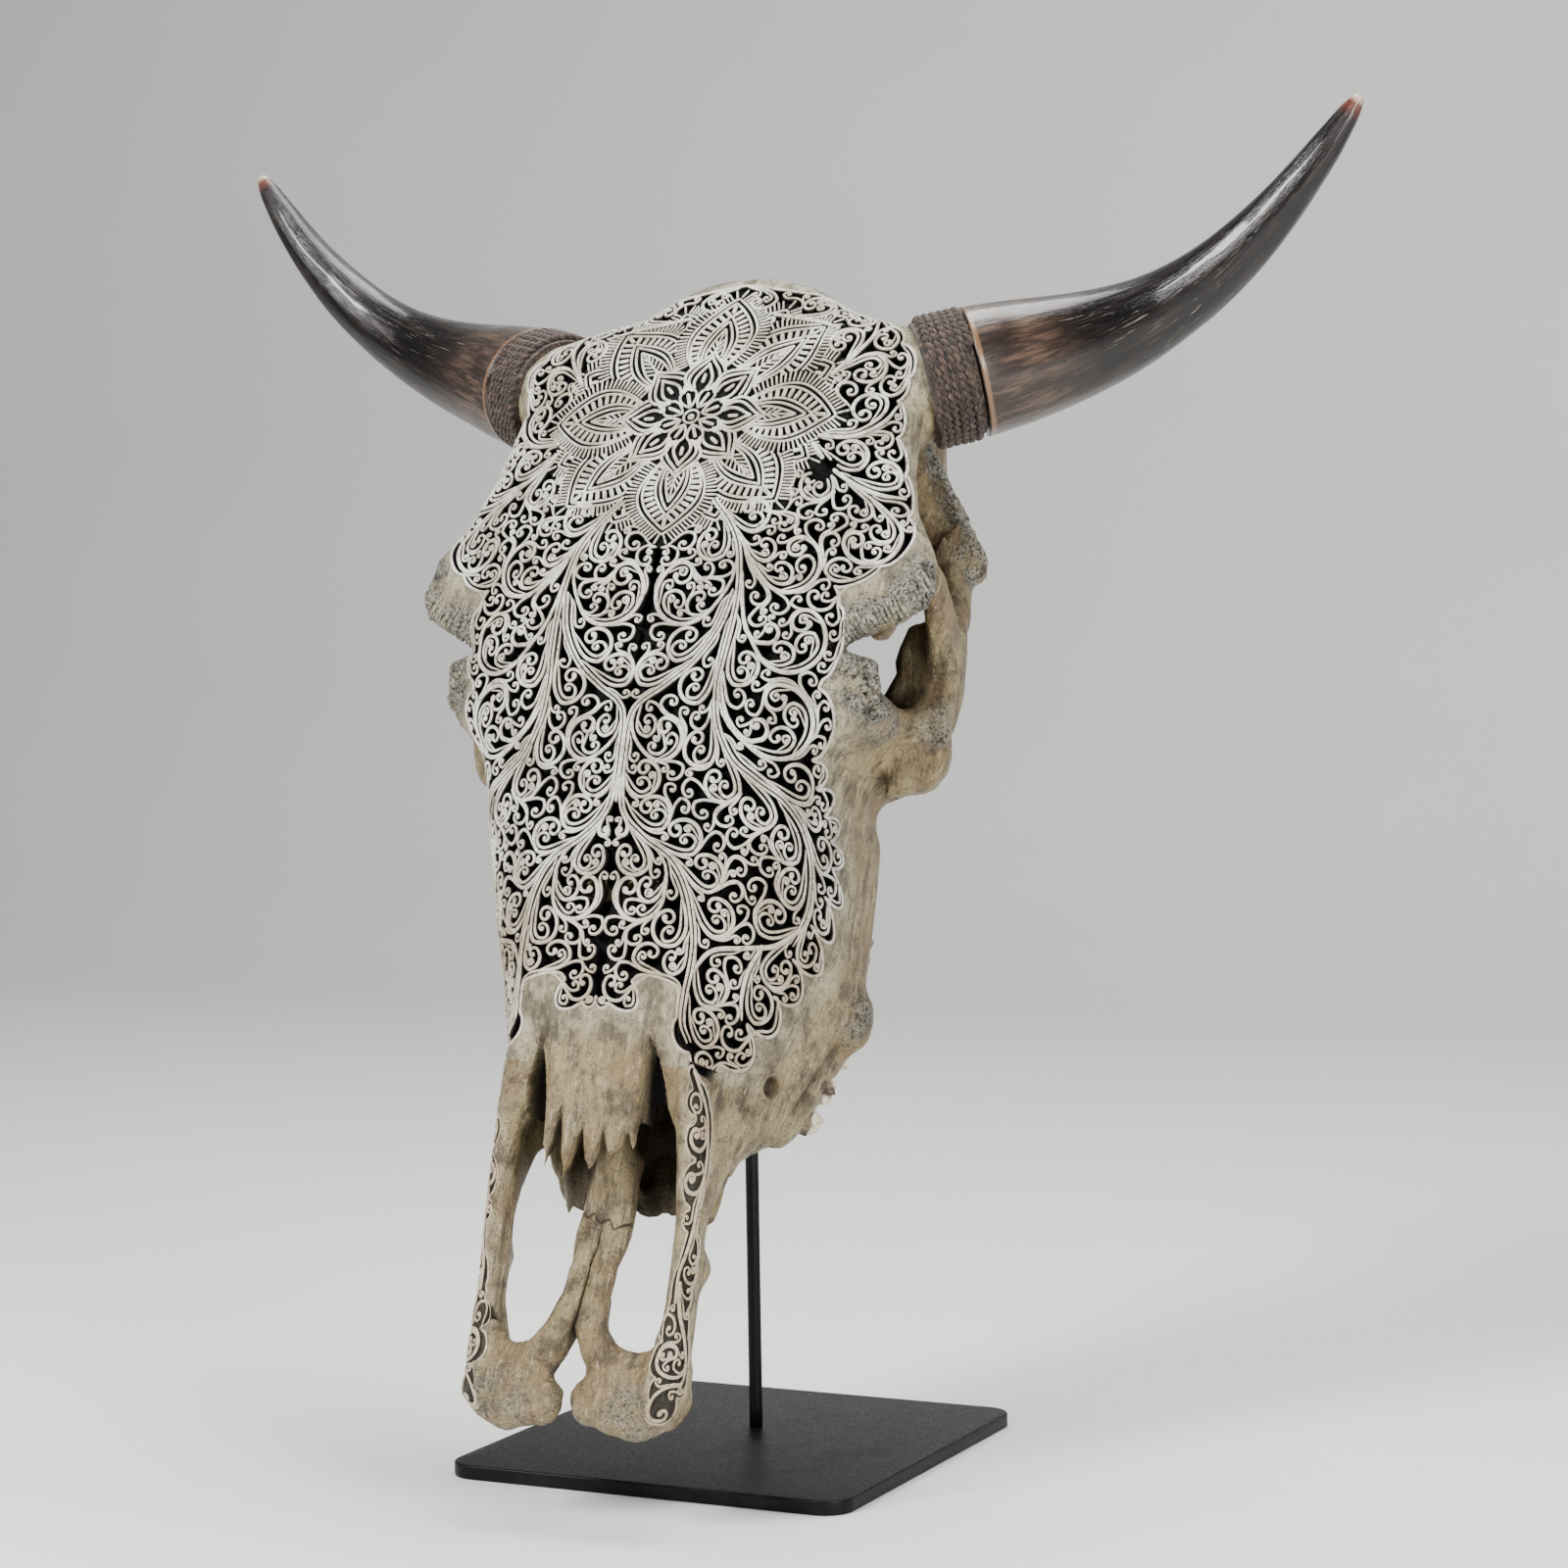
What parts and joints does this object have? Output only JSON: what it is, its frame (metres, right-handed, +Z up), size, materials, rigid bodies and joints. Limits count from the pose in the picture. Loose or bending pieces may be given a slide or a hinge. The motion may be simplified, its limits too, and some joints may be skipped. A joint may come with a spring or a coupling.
{
  "type": "decorated bull skull on stand",
  "caption": "Carved bull skull with dark curved horns bound in cord at their roots, held nose down on an upright rod and a flat steel base plate.",
  "frame": {"origin": "centre of the stand's base plate, on its underside", "axes": "+Z up, -Y the way the face looks, +X to the right of a viewer facing it, which is the animal's left"},
  "size_m": [0.5184, 0.2688, 0.5526],
  "materials": {
    "bone": "dry bone, polished where it is carved",
    "horn": "polished horn",
    "cord": "rough twisted cord",
    "tooth": "worn enamel",
    "steel": "satin black"
  },
  "bodies": {
    "root": {"skull": "bone", "horn_left": "horn", "horn_right": "horn", "cord_wrap_left": "cord", "cord_wrap_right": "cord", "tooth_left_1": "tooth", "tooth_left_2": "tooth", "tooth_left_3": "tooth", "tooth_left_4": "tooth", "tooth_left_5": "tooth", "tooth_left_6": "tooth", "tooth_right_1": "tooth", "tooth_right_2": "tooth", "tooth_right_3": "tooth", "tooth_right_4": "tooth", "tooth_right_5": "tooth", "tooth_right_6": "tooth", "stand_rod": "steel", "stand_base": "steel"}
  },
  "joints": []
}
